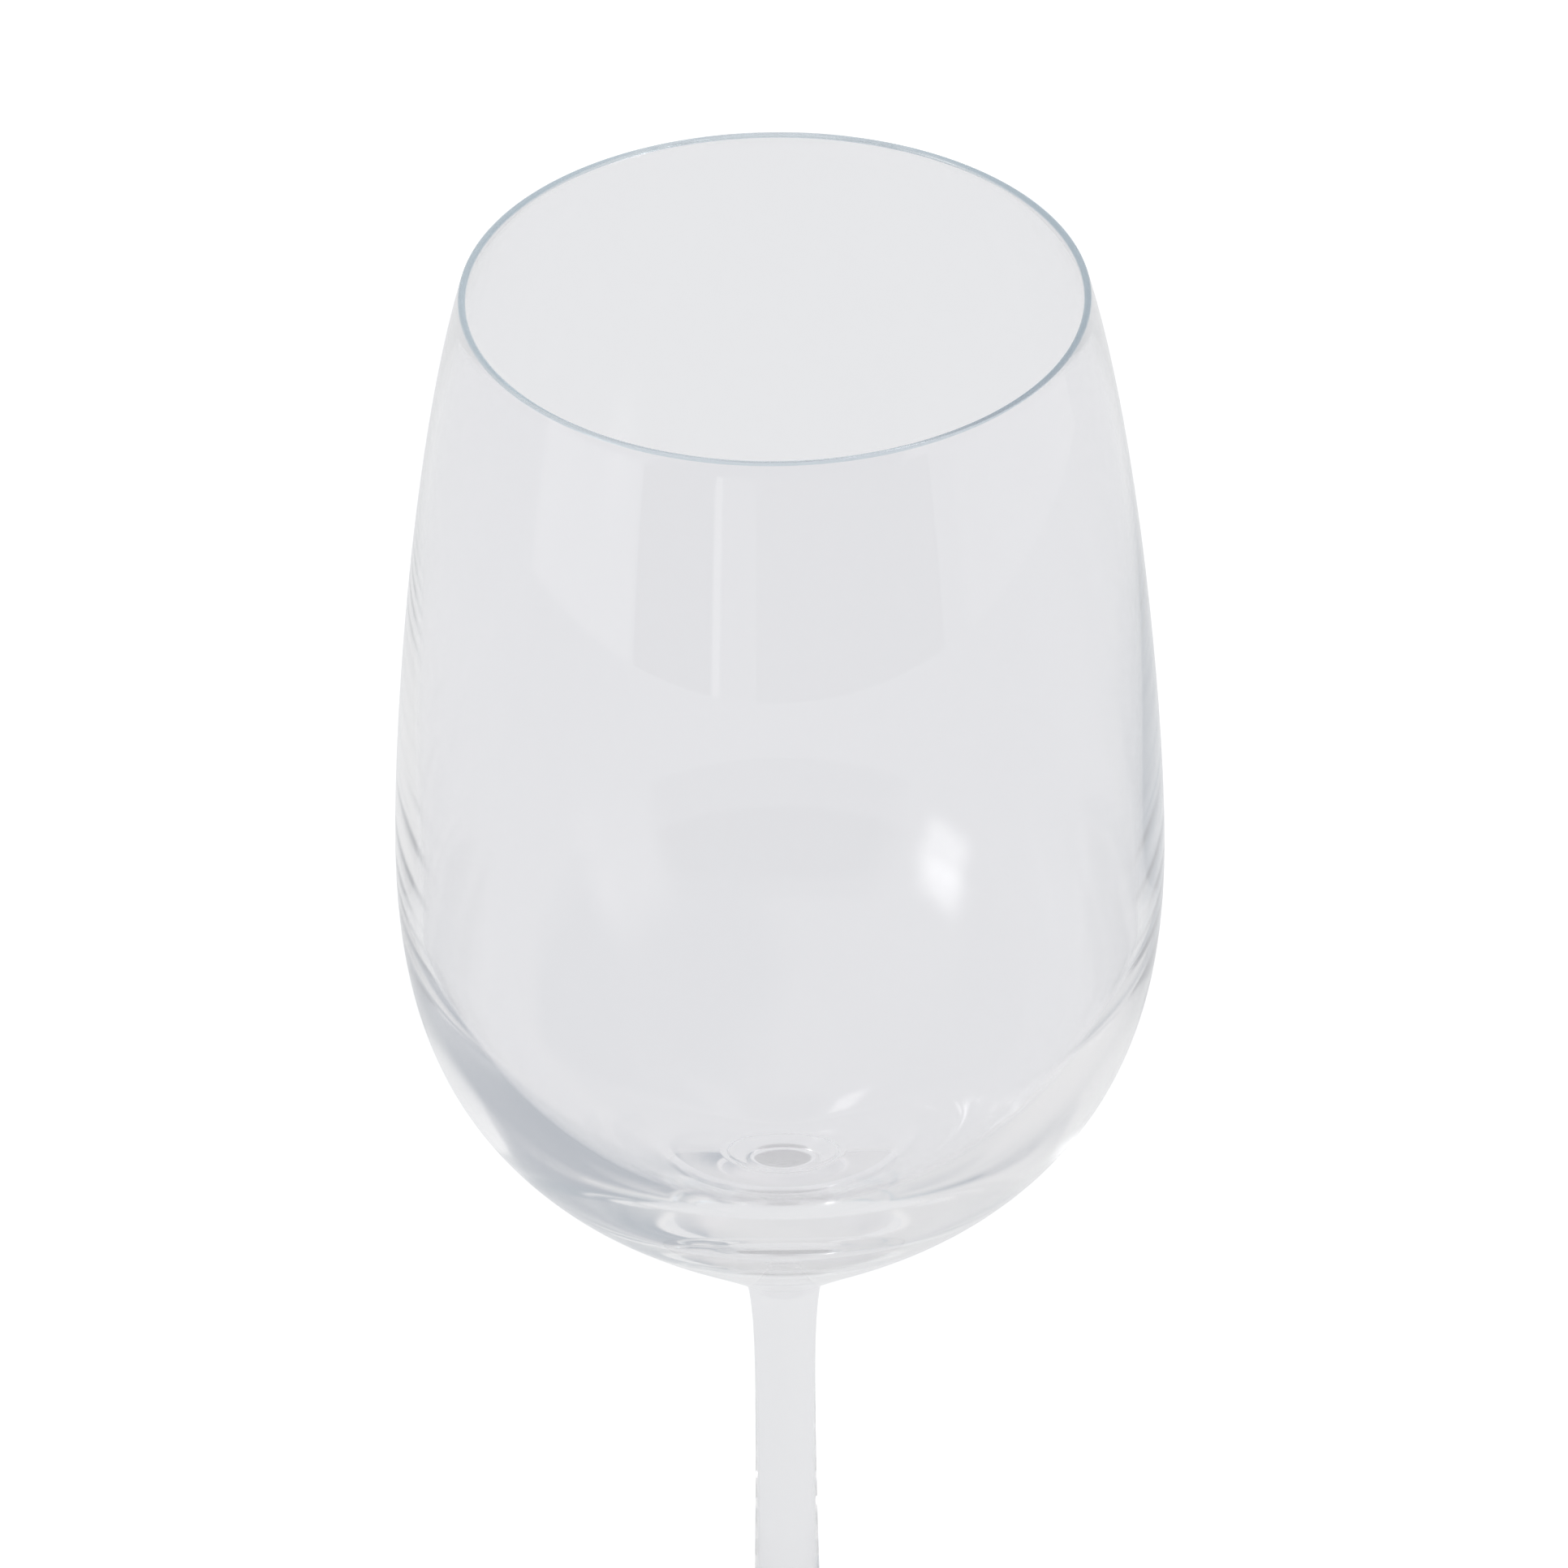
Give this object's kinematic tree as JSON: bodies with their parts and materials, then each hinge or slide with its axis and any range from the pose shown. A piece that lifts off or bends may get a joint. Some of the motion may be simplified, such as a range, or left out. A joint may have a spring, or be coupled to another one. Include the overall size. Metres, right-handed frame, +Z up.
{
  "type": "wine glass",
  "caption": "Clear stemmed wine glass with a tall bowl that narrows to the rim, a thick curved base, a slim waisted stem and a round hollow-backed foot.",
  "frame": {"origin": "centre of the foot's underside, on the surface that the glass stands on", "axes": "+Z up along the axis of the glass, from the foot to the rim; X and Y are equivalent"},
  "size_m": [0.0844, 0.0844, 0.217],
  "materials": {
    "clear_glass": "polished"
  },
  "bodies": {
    "root": {"bowl": "clear_glass", "stem": "clear_glass", "foot": "clear_glass"}
  },
  "joints": []
}
